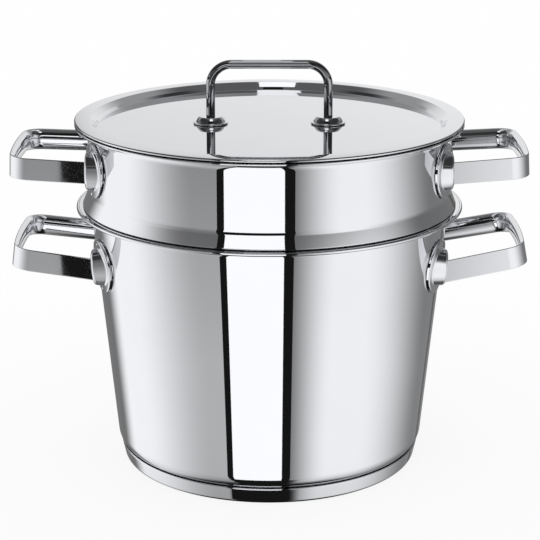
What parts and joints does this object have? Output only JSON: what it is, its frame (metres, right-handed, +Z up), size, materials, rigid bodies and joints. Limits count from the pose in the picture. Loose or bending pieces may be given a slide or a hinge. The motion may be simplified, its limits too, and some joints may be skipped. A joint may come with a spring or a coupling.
{
  "type": "multi-pot with draining insert and dished lid",
  "caption": "Polished steel pot with a capsule base, a deep draining insert standing on its rim, loop handles on both, and a dished steel lid with a bow handle.",
  "frame": {"origin": "on the common axis of pot, insert and lid, at the underside of the base", "axes": "+Z up along the common axis; X through the loop handles and the two posts of the lid's bow; Y across the handles"},
  "size_m": [0.3479, 0.262, 0.2767],
  "materials": {
    "polished_steel": "mirror-polished stainless steel",
    "aluminium_plate": "plain rolled plate, hidden inside the base"
  },
  "bodies": {
    "pot": {"pot_shell": "polished_steel", "heat_plate": "aluminium_plate", "base_cap": "polished_steel", "pot_handle_left": "polished_steel", "pot_handle_right": "polished_steel", "pot_mount_left_front": "polished_steel", "pot_mount_left_back": "polished_steel", "pot_mount_right_front": "polished_steel", "pot_mount_right_back": "polished_steel"},
    "insert": {"insert_shell": "polished_steel", "insert_handle_left": "polished_steel", "insert_handle_right": "polished_steel", "insert_mount_left_front": "polished_steel", "insert_mount_left_back": "polished_steel", "insert_mount_right_front": "polished_steel", "insert_mount_right_back": "polished_steel"},
    "lid": {"lid_shell": "polished_steel", "lid_handle": "polished_steel", "lid_rosette_left": "polished_steel", "lid_rosette_right": "polished_steel", "lid_washer_left": "polished_steel", "lid_washer_right": "polished_steel", "lid_screw_left": "polished_steel", "lid_screw_right": "polished_steel"}
  },
  "joints": [
    {"name": "insert_lift", "type": "slide", "parent": "pot", "child": "insert", "axis": [0, 0, 1], "range_m": [0, 0.17]},
    {"name": "lid_lift", "type": "slide", "parent": "insert", "child": "lid", "axis": [0, 0, 1], "range_m": [0, 0.08]}
  ]
}
